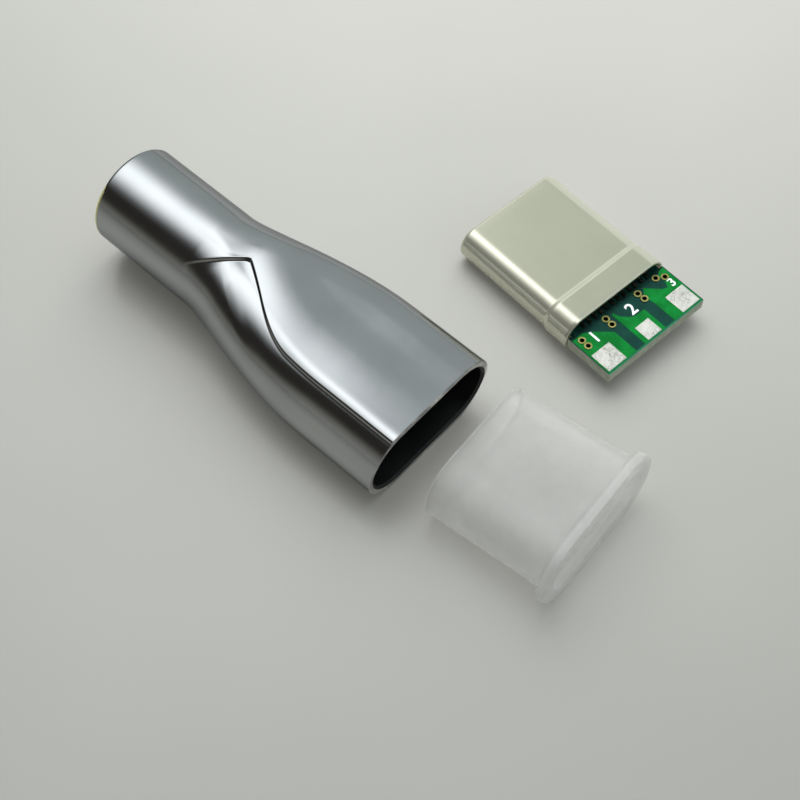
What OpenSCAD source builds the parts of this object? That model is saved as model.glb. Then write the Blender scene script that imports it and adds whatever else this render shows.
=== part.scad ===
// Charging plug for soldering to a cable: plug with its board, insulating sleeve and metal housing.
// The three pieces lie apart on a table, all in one frame. Millimetres, +Z up, table at z = 0.
// +X runs along the housing from its cable end to its mouth.

/* [Plug shell] */
// Width of the front of the plug
plug_w = 8.25; // [8.15:0.01:8.4]
// Height of the front of the plug
plug_h = 2.4; // [2.3:0.01:2.6]
// Sheet thickness of the shell
shell_t = 0.2; // [0.15:0.01:0.25]
// Length of the front part, from the tip to the step
shell_front = 7.6; // [6.8:0.05:8.2]
// Length of the sloped step
shell_slope = 0.3; // [0.15:0.05:0.6]
// Rise of the wider rear part above the front part
shell_rise = 0.12; // [0.05:0.01:0.2]
// Whole length of the shell
shell_len = 9.6; // [8.9:0.05:11]
// Rounding of the shell's front edge
tip_round = 0.3; // [0.15:0.05:0.45]

/* [Plug inside] */
// Distance of the front insulator's face behind the tip
face_set = 0.15; // [0.05:0.05:0.4]
// Where the front insulator ends and the contact carriers begin
carrier_start = 5.5; // [5:0.1:6]
// Width of the opening that takes the socket's tongue
tongue_w = 6.8; // [6.7:0.05:7]
// Height of the opening that takes the socket's tongue
tongue_h = 0.95; // [0.8:0.05:1.1]
// Thickness of the wall behind the opening
back_wall = 0.3; // [0.2:0.05:0.5]
// Gap left between the moulded inner pieces and the shell's round sides
inner_gap = 0.03; // [0.01:0.01:0.06]
// Spacing of the contacts
pitch = 0.5; // [0.45:0.01:0.55]
// Width of a contact strip
contact_w = 0.22; // [0.18:0.01:0.28]
// Thickness of a contact strip
contact_t = 0.15; // [0.1:0.01:0.2]
// Distance from the middle plane to a contact's bump
bump_z = 0.3; // [0.25:0.01:0.4]
// Position of the contact bump, from the tip
bump_x = 2.6; // [2.3:0.1:3]
// Position of the contact's free end, from the tip
contact_end = 2; // [1.85:0.05:2.2]
// Length of the soldered tail behind the board's front edge
tail_len = 1.05; // [0.8:0.05:1.05]
// Clearance around each contact in the front insulator
slot_gap = 0.04; // [0.02:0.01:0.06]
// Thickness of the latch plate
latch_t = 0.2; // [0.14:0.02:0.26]
// Width of a latch arm
latch_arm = 0.25; // [0.2:0.01:0.3]
// Reach of a latch hook into the opening
latch_hook = 0.3; // [0.2:0.05:0.4]
// Thickness of a shield spring
spring_t = 0.1; // [0.08:0.01:0.12]
// Width of a shield spring
spring_w = 5.2; // [4.8:0.1:5.4]

/* [Circuit board] */
// Width of the board behind the shell
board_w = 8.2; // [7.9:0.05:8.5]
// Thickness of the board
board_t = 0.8; // [0.6:0.05:1]
// Length of the board behind the shell
board_out = 3.5; // [3.2:0.1:6]
// Length of the board's narrow front that sits in the shell
board_in = 0.9; // [0.6:0.05:1]
// Play between the board's narrow front and the shell
board_gap = 0.15; // [0.05:0.05:0.3]
// Side of the two outer solder pads
pad_size = 1.5; // [1.2:0.05:1.6]
// Side of the middle solder pad
pad_mid = 1.15; // [0.9:0.05:1.3]
// Distance of an outer pad's middle from the board's middle line
pad_y = 3.2; // [3:0.05:3.25]
// Distance of the pads' rear sides from the board's rear edge
pad_back = 0.17; // [0.1:0.01:0.3]
// Thickness of a tinned pad
pad_t = 0.06; // [0.03:0.01:0.1]
// Inside diameter of a plated hole
via_d = 0.3; // [0.25:0.01:0.4]
// Wall thickness of a plated hole
via_t = 0.05; // [0.04:0.01:0.08]
// Width of the ring around a plated hole
via_ring = 0.05; // [0.03:0.01:0.05]

/* [Sleeve] */
// Clearance between the plug's rear part and the sleeve
plug_gap = 0.05; // [0.02:0.01:0.1]
// Wall of the sleeve at its two sides
sleeve_side = 0.34; // [0.3:0.01:0.6]
// Wall of the sleeve above and below
sleeve_wall = 0.78; // [0.6:0.01:1]
// Whole length of the sleeve with its flange
sleeve_len = 8.5; // [7:0.1:9]
// Thickness of the flange
flange_t = 0.55; // [0.4:0.05:0.8]
// Reach of the flange past the sleeve's sides
flange_side = 0.7; // [0.5:0.05:0.9]
// Reach of the flange above and below the sleeve
flange_top = 0.45; // [0.3:0.05:0.7]
// Rounding of the sleeve's and the flange's outer edges
sleeve_round = 0.15; // [0.05:0.01:0.18]

/* [Housing] */
// Clearance between the sleeve and the housing's mouth
sleeve_gap = 0.05; // [0.02:0.01:0.1]
// Wall of the housing at its mouth
housing_wall = 0.5; // [0.4:0.05:0.8]
// Length from the cable end to the mouth
housing_len = 24.5; // [22:0.1:30]
// Outside diameter of the round cable end
tube_d = 6.6; // [6:0.1:7.4]
// Length of the straight round part
tube_len = 7.6; // [6.6:0.1:8.4]
// Distance from the cable end to the end of the flare
flare_end = 18.9; // [17:0.1:19.5]
// How early the flare swells: below 1 is early
flare_bias = 0.74; // [0.6:0.02:1]
// Diameter of the cable hole
cable_d = 4.1; // [3.4:0.1:4.1]
// Depth of the wire room, from the mouth
room_depth = 12.3; // [10.5:0.1:12.6]
// Rounding of the housing's rear edge
rear_round = 0.25; // [0.1:0.05:0.4]
// Rounding of the mouth's outer edge
rim_round = 0.1; // [0.05:0.01:0.14]

/* [Relief] */
// Depth of the sunk leaf beside its edge
leaf_depth = 0.15; // [0.08:0.01:0.18]
// Width of the step at the leaf's edge
leaf_step = 0.32; // [0.2:0.02:0.5]
// Position of the leaf's point on the top ridge, from the cable end
leaf_point = 10.45; // [9.6:0.05:11.5]
// How far in front of the point the rear edge fades out, towards the cable end
leaf_rear = 3.25; // [2.2:0.05:3.6]
// Turn of the rear edge for each millimetre, in degrees
leaf_lead = 15.7; // [12:0.1:18]
// Turn of the front edge from the top ridge, in degrees
leaf_turn = 34; // [28:0.5:38]
// Length over which the front edge swings out
leaf_swing = 6.1; // [4.5:0.1:7]
// Turn over which the sunk leaf rises back to the full outline, in degrees
leaf_spread = 112; // [90:1:130]
// Depth of the hollow below the leaf's front edge
hollow_depth = 0.18; // [0.05:0.01:0.21]
// Length over which the hollow deepens, from the leaf's point towards the mouth
hollow_run = 9; // [7:0.1:12]
// Turn from the foot of the step to the start of the hollow, in degrees
hollow_foot = 1.2; // [0:0.1:3]
// Turn over which the hollow lies, in degrees
hollow_spread = 60; // [48:1:70]
// Height of the soft bulge above the leaf's edge
bulge_rise = 0.15; // [0:0.01:0.18]
// Where the bulge starts, from the cable end
bulge_start = 5.6; // [4:0.1:7.4]
// Length of the bulge, which the mouth cuts off
bulge_run = 23; // [20:0.5:28]
// Turn over which the bulge lies, in degrees
bulge_spread = 50; // [40:1:60]

/* [Layout] */
// Turn of the plug against the housing, in degrees
plug_turn = -6.9; // [-12:0.1:0]
// Plug tip along the housing, from the cable end
plug_x = 17.2; // [14:0.1:22]
// Plug tip beside the housing's axis
plug_y = 15.8; // [13:0.1:20]
// Turn of the sleeve against the housing, in degrees
sleeve_turn = 3.3; // [0:0.1:6]
// Space between the mouth and the sleeve
sleeve_apart = 2.6; // [1.5:0.1:6]
// Sleeve's rear end beside the housing's axis
sleeve_y = 0.86; // [0:0.02:2]
// Shift that puts the middle of the layout on the origin, along X
centre_x = -17.91; // [-24:0.01:-12]
// Shift that puts the middle of the layout on the origin, along Y
centre_y = -7.38; // [-12:0.01:-4]

/* [Hidden] */
$fn = 72;
eps = 0.01;

// Shell outlines are oblongs: two round sides of radius r at a distance c from the middle
plug_r = plug_h / 2;
plug_c = plug_w / 2 - plug_r;
rear_r = plug_r + shell_rise;
rear_x = shell_front + shell_slope;
room_r = plug_r - shell_t;
rear_room_r = rear_r - shell_t;

// Contact rows lie on the board's two faces
row_z = board_t / 2;
board_start = shell_len - board_in;
board_end = shell_len + board_out;
tail_end = board_start + tail_len;
board_in_w = 2 * (plug_c + sqrt(pow(rear_room_r, 2) - pow(row_z, 2)) - board_gap);
groove_z = tongue_h / 2 + contact_t + 2 * slot_gap;
spring_x = 0.75;
spring_len = 1;
finger_x = 1.05;
finger_len = 0.5;
finger_w = 0.9;
finger_y = 1.7;
latch_y = tongue_w / 2 + 0.03;
latch_x = carrier_start + 0.1;
latch_end = board_start - 0.1;
hook_x = contact_end + 0.1;
hook_len = 0.8;

// Board features, from the tip and from the board's middle line
pad_out_x = board_end - pad_back - pad_size;
pad_mid_x = board_end - pad_back - pad_mid;
via_r = via_d / 2 + via_t;

// The sleeve fits over the plug's rear part, the housing over the sleeve
bore_r = rear_r + plug_gap;
sleeve_r = bore_r + sleeve_wall;
sleeve_c = plug_c + bore_r + sleeve_side - sleeve_r;
flange_r = sleeve_r + flange_top;
flange_c = sleeve_c + sleeve_r + flange_side - flange_r;
mouth_room_r = sleeve_r + sleeve_gap;
mouth_h = 2 * (mouth_room_r + housing_wall);
mouth_w = 2 * (sleeve_c + mouth_room_r + housing_wall);
mouth_r = mouth_h / 2 - 0.12;
mouth_depth = sleeve_len - flange_t + 0.1;
tube_r = tube_d / 2;
wire_room_r = mouth_room_r - 0.12;
wire_room_c = sleeve_c - 0.85;

// The housing's skin: rings of points along the axis, half_n points for each half turn
half_n = 36;
stations = concat(
    [for (i = [0:3]) rear_round * i / 4],
    [for (i = [0:4]) rear_round + (leaf_point - leaf_rear - rear_round) * i / 5],
    [for (i = [0:9]) leaf_point - leaf_rear * (1 - i / 10)],
    [for (i = [0:15]) leaf_point + leaf_swing * i / 16],
    [for (i = [0:8]) leaf_point + leaf_swing + (housing_len - rim_round - leaf_point - leaf_swing) * i / 9],
    [for (i = [0:3]) housing_len - rim_round * (1 - i / 3)]
);
ring_n = len(stations);
turn_n = 2 * half_n;

function unit(v) = max(0, min(1, v));
function ease(v) = v * v * (3 - 2 * v);

// The cross-section grows from the round tube to the oblong mouth
function flare(u) = ease(pow(unit((u - tube_len) / (flare_end - tube_len)), flare_bias));
function half_w(u) = tube_r + flare(u) * (mouth_w / 2 - tube_r);
function half_h(u) = tube_r + flare(u) * (mouth_h / 2 - tube_r);
function corner(u) = tube_r + flare(u) * (mouth_r - tube_r);

// Rounded outer edges at both ends
function bend(r, d) = r - sqrt(max(0, r * r - pow(r - min(r, d), 2)));
function edge_cut(u) = bend(rear_round, u) + bend(rim_round, housing_len - u);

// Distance from the axis to a rounded rectangle, for the sine and cosine of a direction
function reach(a, b, k, s, c) =
    b * s <= (a - k) * c ? b / c
    : a * c <= (b - k) * s ? a / s
    : (a - k) * s + (b - k) * c + sqrt(max(0, k * k - pow((a - k) * c - (b - k) * s, 2)));

// The leaf's edge: one V along the housing with its point on the ridge, given as a turn from the top
function route(u) =
    u < leaf_point ? leaf_lead * min(leaf_rear, leaf_point - u)
    : leaf_turn * sin(90 * min(1, (u - leaf_point) / leaf_swing));
function fade(u) = ease(unit((u - leaf_point + leaf_rear) / (0.7 * leaf_rear)));
function half_step(u) =
    leaf_step / 2 * 180 / PI / norm([half_w(u) * cos(route(u)), half_h(u) * sin(route(u))]);
function leaf(d, w) = d < w ? ease(unit((d + w) / (2 * w))) : 1 - ease(unit((d - w) / (leaf_spread - w)));

// A hollow lies below the leaf's front edge and deepens to the mouth; a bulge lies above the edge
function hump(t) = t < 0.5 ? 4 * t * (1 - t) : ease(2 - 2 * t);
function hollow(u, d) =
    hollow_depth * ease(unit((u - leaf_point) / hollow_run))
    * hump(unit((d - half_step(u) - hollow_foot) / hollow_spread));
function bulge(u, d) =
    bulge_rise * hump(unit((u - bulge_start) / bulge_run))
    * hump(unit((180 - half_step(u) - d) / bulge_spread));
function sink(u, d) = leaf_depth * fade(u) * leaf(d, half_step(u)) + hollow(u, d) - bulge(u, d);

// Columns follow the leaf's edge, five of them across its step
function columns(w) = concat(
    [-w, -w / 2, 0, w / 2, w],
    [for (j = [1:half_n - 5]) w + (180 - 2 * w) * j / (half_n - 4)]
);
function skin(u, turn, cut) =
    let (a = half_w(u), b = half_h(u))
    let (y = a * sin(turn), z = b * cos(turn))
    let (n = norm([y, z]))
    let (r = reach(a, b, corner(u), abs(y) / n, abs(z) / n) - cut)
    [u, -r * y / n, r * z / n];
function ring(u) =
    [for (lobe = [0, 180]) for (d = columns(half_step(u))) skin(u, route(u) + lobe + d, sink(u, d) + edge_cut(u))];

skin_points = [for (u = stations) each ring(u)];
skin_faces = concat(
    [for (i = [0:ring_n - 2]) for (j = [0:turn_n - 1])
        [i * turn_n + j, (i + 1) * turn_n + (j + 1) % turn_n, i * turn_n + (j + 1) % turn_n]],
    [for (i = [0:ring_n - 2]) for (j = [0:turn_n - 1])
        [i * turn_n + j, (i + 1) * turn_n + j, (i + 1) * turn_n + (j + 1) % turn_n]],
    [[for (j = [0:turn_n - 1]) j]],
    [[for (j = [turn_n - 1:-1:0]) (ring_n - 1) * turn_n + j]]
);

// Each piece rests on the table with the small tilt that its shape gives it
housing_tilt = atan((tube_r - mouth_h / 2) / (housing_len - tube_len - 0.5));
housing_z = max([for (p = skin_points) p[0] * sin(housing_tilt) - p[2] * cos(housing_tilt)]);
plug_tilt = atan(shell_rise / (rear_x - tip_round));
plug_z = rear_r * cos(plug_tilt) - rear_x * sin(plug_tilt);
sleeve_tilt = atan(flange_top / (sleeve_len - flange_t));
sleeve_z = (sleeve_r - sleeve_round) * cos(sleeve_tilt) + sleeve_round * (1 - sin(sleeve_tilt));
sleeve_x = housing_len + sleeve_apart;

// Colours
chrome_grey = [0.62, 0.65, 0.7];
nickel_grey = [0.74, 0.73, 0.66];
frost_white = [0.86, 0.88, 0.87];
plastic_black = [0.06, 0.06, 0.07];
spring_grey = [0.6, 0.6, 0.6];
contact_gold = [0.83, 0.66, 0.32];
board_green = [0.05, 0.42, 0.2];
tin_grey = [0.78, 0.78, 0.76];

// Placing the three pieces
module place_housing() {
    translate([centre_x, centre_y, housing_z]) rotate([0, housing_tilt, 0]) children();
}

module place_sleeve() {
    translate([centre_x + sleeve_x, centre_y + sleeve_y, sleeve_z])
        rotate([0, 0, sleeve_turn]) rotate([0, -sleeve_tilt, 0]) children();
}

module place_plug() {
    translate([centre_x + plug_x, centre_y + plug_y, plug_z])
        rotate([0, 0, plug_turn]) rotate([0, -plug_tilt, 0]) children();
}

// An oblong bar along X
module oblong(c, r, x0, x1) {
    for (s = [-1, 1]) {
        translate([x0, s * c, 0]) rotate([0, 90, 0]) cylinder(h = x1 - x0, r = r);
    }
    translate([x0, -c, -r]) cube([x1 - x0, 2 * c, 2 * r]);
}

// An oblong body along X whose half profile is the child: radius to the right, length upwards
module oblong_body(c) {
    for (s = [-1, 1]) {
        translate([0, s * c, 0]) rotate([0, 90, 0]) rotate_extrude() children();
    }
    rotate([0, -90, -90]) linear_extrude(height = 2 * c, center = true) {
        children();
        mirror([1, 0, 0]) children();
    }
}

// A box with its middle on the X axis plane y = 0
module mid_box(x0, x1, w, z0, z1) {
    translate([x0, -w / 2, z0]) cube([x1 - x0, w, z1 - z0]);
}

// Half profile of the shell's outside
module shell_outside() {
    translate([0, tip_round]) square([plug_r, shell_front - tip_round]);
    square([plug_r - tip_round, tip_round]);
    translate([plug_r - tip_round, tip_round]) circle(r = tip_round);
    polygon([[0, shell_front], [plug_r, shell_front], [rear_r, rear_x], [rear_r, shell_len], [0, shell_len]]);
}

// Half profile of the shell's room
module shell_inside() {
    polygon([
        [0, -1], [room_r, -1], [room_r, shell_front], [rear_room_r, rear_x],
        [rear_room_r, shell_len + 1], [0, shell_len + 1]
    ]);
}

// Housing
module metal_housing() {
    color(chrome_grey) place_housing() difference() {
        polyhedron(points = skin_points, faces = skin_faces, convexity = 6);
        translate([-1, 0, 0]) rotate([0, 90, 0]) cylinder(h = housing_len - room_depth + 1.5, d = cable_d);
        oblong(wire_room_c, wire_room_r, housing_len - room_depth, housing_len);
        oblong(sleeve_c, mouth_room_r, housing_len - mouth_depth, housing_len + 1);
    }
}

// Half profile of the sleeve's tube, rounded at its rear edge
module sleeve_outside() {
    translate([0, sleeve_round]) square([sleeve_r, sleeve_len - sleeve_round - flange_t / 2]);
    square([sleeve_r - sleeve_round, sleeve_round]);
    translate([sleeve_r - sleeve_round, sleeve_round]) circle(r = sleeve_round);
}

// Half profile of the flange, rounded at both edges
module flange_outside() {
    translate([0, sleeve_len - flange_t]) {
        translate([0, sleeve_round]) square([flange_r, flange_t - 2 * sleeve_round]);
        square([flange_r - sleeve_round, flange_t]);
        for (y = [sleeve_round, flange_t - sleeve_round]) {
            translate([flange_r - sleeve_round, y]) circle(r = sleeve_round);
        }
    }
}

// Sleeve
module insulating_sleeve() {
    color(frost_white) place_sleeve() difference() {
        union() {
            oblong_body(sleeve_c) sleeve_outside();
            oblong_body(flange_c) flange_outside();
        }
        oblong(plug_c, bore_r, -1, sleeve_len + 1);
    }
}

// Plug shell
module plug_shell() {
    color(nickel_grey) place_plug() difference() {
        oblong_body(plug_c) shell_outside();
        oblong_body(plug_c) shell_inside();
    }
}

// Where contact number i sits across the plug, 1 to 12
function contact_y(i) = (6.5 - i) * pitch;

// Side profile of one upper contact: tail on the board, straight root, sprung beam with its bump
module contact_side() {
    polygon([
        [tail_end, row_z], [carrier_start, row_z], [bump_x, bump_z], [contact_end, row_z + 0.06],
        [contact_end, row_z + 0.06 + contact_t], [bump_x, bump_z + contact_t],
        [carrier_start, row_z + contact_t], [tail_end, row_z + contact_t]
    ]);
}

// Contact number i of the row on side s: 1 is the upper row, -1 the lower row
module contact_at(i, s) {
    color(contact_gold) place_plug() translate([0, s * contact_y(i), 0])
        rotate([s > 0 ? 90 : -90, 0, 0]) linear_extrude(height = contact_w, center = true) contact_side();
}

// The numbers of the contacts in the two rows
upper_row = [for (i = [1:12]) i];
lower_row = [for (i = [1:12]) if (i < 6 || i > 7) i];

// Room for one contact's beam in the front insulator
module beam_groove(i, s) {
    w = contact_w + 2 * slot_gap;
    y = s * contact_y(i);
    z0 = s > 0 ? bump_z - slot_gap : -groove_z;
    translate([contact_end - 0.1, y - w / 2, z0]) cube([carrier_start, w, groove_z - bump_z + slot_gap]);
}

// Front insulator
module front_insulator() {
    color(plastic_black) place_plug() difference() {
        oblong(plug_c - inner_gap, room_r, face_set, carrier_start);
        mid_box(0, carrier_start - back_wall, tongue_w, -tongue_h / 2, tongue_h / 2);
        for (i = upper_row) beam_groove(i, 1);
        for (i = lower_row) beam_groove(i, -1);
        for (s = [-1, 1]) {
            translate([contact_end - 0.1, s > 0 ? tongue_w / 2 - 0.1 : -latch_y - latch_arm - 0.06, -latch_t / 2 - 0.03])
                cube([carrier_start, latch_y + latch_arm + 0.06 - tongue_w / 2 + 0.1, latch_t + 0.06]);
            mid_box(spring_x, spring_x + spring_len, spring_w, s > 0 ? room_r - spring_t : -room_r - 1,
                s > 0 ? room_r + 1 : -room_r + spring_t);
            for (t = [-1, 1]) {
                translate([finger_x - 0.05, t * finger_y - finger_w / 2 - 0.05, s > 0 ? 0.2 : -room_r])
                    cube([finger_len + 0.1, finger_w + 0.1, room_r - 0.2]);
            }
        }
    }
}

// Half of the contact carrier, above the latch plate
module carrier_half(row, s) {
    difference() {
        union() {
            intersection() {
                oblong(plug_c - inner_gap, room_r, carrier_start, shell_front);
                mid_box(carrier_start, shell_front, plug_w, latch_t / 2, plug_h);
            }
            intersection() {
                oblong(plug_c - inner_gap, room_r, shell_front - eps, board_start);
                mid_box(shell_front - eps, board_start, plug_w, latch_t / 2, plug_h);
            }
            intersection() {
                oblong(plug_c - inner_gap, rear_room_r, rear_x, shell_len - 0.25);
                mid_box(rear_x, shell_len - 0.25, plug_w, row_z + contact_t, plug_h);
            }
        }
        for (i = row) {
            translate([carrier_start - 1, s * contact_y(i) - contact_w / 2, row_z])
                cube([shell_len, contact_w, contact_t]);
        }
    }
}

// Upper contact carrier
module upper_carrier() {
    color(plastic_black) place_plug() carrier_half(upper_row, 1);
}

// Lower contact carrier
module lower_carrier() {
    color(plastic_black) place_plug() rotate([180, 0, 0]) carrier_half(lower_row, 1);
}

// One side of the latch plate's outline: body, cross bar, arm and hook
latch_w = latch_y + latch_arm;
latch_half = [
    [latch_end, latch_w - 0.6], [latch_x + 0.8, latch_w - 0.6], [latch_x + 0.8, latch_w], [hook_x, latch_w],
    [hook_x, latch_y - 0.05], [hook_x + 0.35, latch_y - latch_hook], [hook_x + 0.5, latch_y - latch_hook],
    [hook_x + hook_len, latch_y], [latch_x, latch_y]
];
latch_other = [for (i = [len(latch_half) - 1:-1:0]) [latch_half[i][0], -latch_half[i][1]]];

// Latch plate with its two side arms and hooks
module latch_plate() {
    color(spring_grey) place_plug() translate([0, 0, -latch_t / 2])
        linear_extrude(height = latch_t) polygon(concat(latch_half, latch_other));
}

// Shield spring: a plate under the shell with two fingers that reach into the opening
module shield_spring() {
    mid_box(spring_x, spring_x + spring_len, spring_w, room_r - spring_t, room_r);
    for (t = [-1, 1]) {
        translate([finger_x, t * finger_y + finger_w / 2, 0]) rotate([90, 0, 0]) linear_extrude(height = finger_w)
            polygon([
                [0, room_r - spring_t / 2], [0.15, tongue_h / 2 - 0.06], [0.35, tongue_h / 2 - 0.06],
                [finger_len, tongue_h / 2 + 0.1], [finger_len, tongue_h / 2 + 0.1 + spring_t],
                [0.33, tongue_h / 2 + 0.04], [0.22, tongue_h / 2 + 0.04], [0.1, room_r - spring_t / 2]
            ]);
    }
}

// Upper shield spring
module upper_shield_spring() {
    color(spring_grey) place_plug() shield_spring();
}

// Lower shield spring
module lower_shield_spring() {
    color(spring_grey) place_plug() rotate([180, 0, 0]) shield_spring();
}

// Upper row of contacts
module contact_a01() { contact_at(1, 1); }
module contact_a02() { contact_at(2, 1); }
module contact_a03() { contact_at(3, 1); }
module contact_a04() { contact_at(4, 1); }
module contact_a05() { contact_at(5, 1); }
module contact_a06() { contact_at(6, 1); }
module contact_a07() { contact_at(7, 1); }
module contact_a08() { contact_at(8, 1); }
module contact_a09() { contact_at(9, 1); }
module contact_a10() { contact_at(10, 1); }
module contact_a11() { contact_at(11, 1); }
module contact_a12() { contact_at(12, 1); }

// Lower row of contacts: its two middle places are empty
module contact_b01() { contact_at(1, -1); }
module contact_b02() { contact_at(2, -1); }
module contact_b03() { contact_at(3, -1); }
module contact_b04() { contact_at(4, -1); }
module contact_b05() { contact_at(5, -1); }
module contact_b08() { contact_at(8, -1); }
module contact_b09() { contact_at(9, -1); }
module contact_b10() { contact_at(10, -1); }
module contact_b11() { contact_at(11, -1); }
module contact_b12() { contact_at(12, -1); }

// Places of the plated holes: distance behind the shell, distance from the middle line
via_at = [
    [0.7, -3.58], [1.22, -3.58], [0.56, -1.4], [1.08, -1.4],
    [0.54, 1.4], [1.06, 1.45], [0.46, 3.08], [0.76, 3.58]
];

// Circuit board with its narrow front, drilled for the plated holes
module circuit_board() {
    color(board_green) place_plug() difference() {
        translate([0, 0, -board_t / 2]) linear_extrude(height = board_t) {
            translate([board_start, -board_in_w / 2]) square([board_end - board_start - 1, board_in_w]);
            translate([shell_len + 0.05, -board_w / 2]) square([board_end - shell_len - 0.05, board_w]);
        }
        for (p = via_at) {
            translate([shell_len + p[0], p[1], -board_t]) cylinder(h = 2 * board_t, r = via_r);
        }
    }
}

// One tinned pad on the board's top
module pad_at(x, y, w) {
    color(tin_grey) place_plug() translate([x, y - w / 2, board_t / 2]) cube([w, w, pad_t]);
}

module solder_pad_1() { pad_at(pad_out_x, -pad_y, pad_size); }
module solder_pad_2() { pad_at(pad_mid_x, 0, pad_mid); }
module solder_pad_3() { pad_at(pad_out_x, pad_y, pad_size); }

// One plated hole: a barrel through the board with a flat ring on each face
module hole_at(i) {
    color(contact_gold) place_plug() translate([shell_len + via_at[i][0], via_at[i][1], 0]) difference() {
        union() {
            cylinder(h = board_t, r = via_r, center = true);
            for (s = [-1, 1]) {
                translate([0, 0, s * (board_t + pad_t) / 2]) cylinder(h = pad_t, r = via_r + via_ring, center = true);
            }
        }
        cylinder(h = 2 * board_t, d = via_d, center = true);
    }
}

module plated_hole_1() { hole_at(0); }
module plated_hole_2() { hole_at(1); }
module plated_hole_3() { hole_at(2); }
module plated_hole_4() { hole_at(3); }
module plated_hole_5() { hole_at(4); }
module plated_hole_6() { hole_at(5); }
module plated_hole_7() { hole_at(6); }
module plated_hole_8() { hole_at(7); }

metal_housing();
insulating_sleeve();
plug_shell();
front_insulator();
upper_carrier();
lower_carrier();
latch_plate();
upper_shield_spring();
lower_shield_spring();
contact_a01();
contact_a02();
contact_a03();
contact_a04();
contact_a05();
contact_a06();
contact_a07();
contact_a08();
contact_a09();
contact_a10();
contact_a11();
contact_a12();
contact_b01();
contact_b02();
contact_b03();
contact_b04();
contact_b05();
contact_b08();
contact_b09();
contact_b10();
contact_b11();
contact_b12();
circuit_board();
solder_pad_1();
solder_pad_2();
solder_pad_3();
plated_hole_1();
plated_hole_2();
plated_hole_3();
plated_hole_4();
plated_hole_5();
plated_hole_6();
plated_hole_7();
plated_hole_8();
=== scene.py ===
import math

import bmesh
import bpy
import numpy as np
from mathutils import Matrix, Vector


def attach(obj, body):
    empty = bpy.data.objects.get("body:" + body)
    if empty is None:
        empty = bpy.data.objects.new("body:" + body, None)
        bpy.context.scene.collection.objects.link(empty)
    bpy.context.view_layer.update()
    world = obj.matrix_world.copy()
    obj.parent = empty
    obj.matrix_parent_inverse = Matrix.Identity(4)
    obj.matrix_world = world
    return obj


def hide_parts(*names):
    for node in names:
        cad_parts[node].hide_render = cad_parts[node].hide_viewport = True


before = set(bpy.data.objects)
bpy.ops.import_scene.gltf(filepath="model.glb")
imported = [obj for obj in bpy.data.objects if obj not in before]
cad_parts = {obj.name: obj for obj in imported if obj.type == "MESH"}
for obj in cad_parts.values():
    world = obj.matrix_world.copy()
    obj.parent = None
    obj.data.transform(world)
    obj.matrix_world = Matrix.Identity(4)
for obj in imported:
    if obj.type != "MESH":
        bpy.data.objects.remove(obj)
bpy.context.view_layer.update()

# Charging plug on its board, frosted sleeve and chromed housing, lying apart on a pale table.
# Sizes are the part's own, in millimetres, and every piece is made in the frame of the solids.
MM = 0.001
CLEARANCE = 0.05

# Plug shell: front part, step and wider rear part
PLUG_W, PLUG_H, SHELL_T = 8.25, 2.4, 0.2
SHELL_FRONT, SHELL_SLOPE, SHELL_RISE, SHELL_LEN, TIP_ROUND = 7.6, 0.3, 0.12, 9.6, 0.3
STEP_LEAD, STEP_TAIL = 0.12, 0.04
PLUG_R = PLUG_H / 2
PLUG_C = PLUG_W / 2 - PLUG_R
REAR_R = PLUG_R + SHELL_RISE
REAR_X = SHELL_FRONT + SHELL_SLOPE

# Board: tinned pads, and the plated holes that pass through a copper area
BOARD_T, BOARD_END = 0.8, 13.1
PAD_SIZE, PAD_MID, PAD_Y, PAD_BACK, PAD_T = 1.5, 1.15, 3.2, 0.17, 0.06
NEAR_HOLES = [(10.3, -3.58), (10.82, -3.58)]
CORNER_HOLES = [(10.36, 3.58)]
COPPER_T, COPPER_OPEN_R = 0.014, 0.2
PRINT_LIFT, PRINT_HALF, PRINT_BOLD, TYPE_PER_HEIGHT = 0.018, 0.006, 0.02, 1.36

# Sleeve and its flange
SLEEVE_WALL, SLEEVE_SIDE, FLANGE_OUT, FLANGE_SIDE = 0.78, 0.34, 0.45, 0.7
SLEEVE_LEN, FLANGE_T, SLEEVE_ROUND, SLEEVE_FILLET, BORE_BREAK = 8.5, 0.55, 0.15, 0.12, 0.06
BORE_R = REAR_R + CLEARANCE
SLEEVE_R = BORE_R + SLEEVE_WALL
SLEEVE_C = PLUG_C + BORE_R + SLEEVE_SIDE - SLEEVE_R
FLANGE_R = SLEEVE_R + FLANGE_OUT
FLANGE_C = SLEEVE_C + SLEEVE_R + FLANGE_SIDE - FLANGE_R

# Housing: tube, flare, oblong mouth and the rooms inside
TUBE_R, TUBE_LEN, FLARE_END, FLARE_BIAS, HOUSING_LEN = 3.3, 7.6, 18.9, 0.74, 24.5
MOUTH_WALL, CORNER_EASE, MOUTH_SPARE, MOUTH_LIP = 0.5, 0.12, 0.1, 0.16
WIRE_LEDGE, WIRE_SIDE, WIRE_DEPTH, CABLE_R, CABLE_LIP = 0.12, 0.85, 12.3, 2.05, 0.05
REAR_ROUND, RIM_ROUND, RIM_SHARE = 0.25, 0.1, 0.6
BRASS_FROM, BRASS_RUN = 0.45, 0.25
ROOM_R = SLEEVE_R + CLEARANCE
MOUTH_HALF_H = ROOM_R + MOUTH_WALL
MOUTH_HALF_W = SLEEVE_C + ROOM_R + MOUTH_WALL
MOUTH_CORNER = MOUTH_HALF_H - CORNER_EASE
MOUTH_DEPTH = SLEEVE_LEN - FLANGE_T + MOUTH_SPARE
WIRE_R, WIRE_C = ROOM_R - WIRE_LEDGE, SLEEVE_C - WIRE_SIDE
SKIN_COLUMNS = 240

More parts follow.
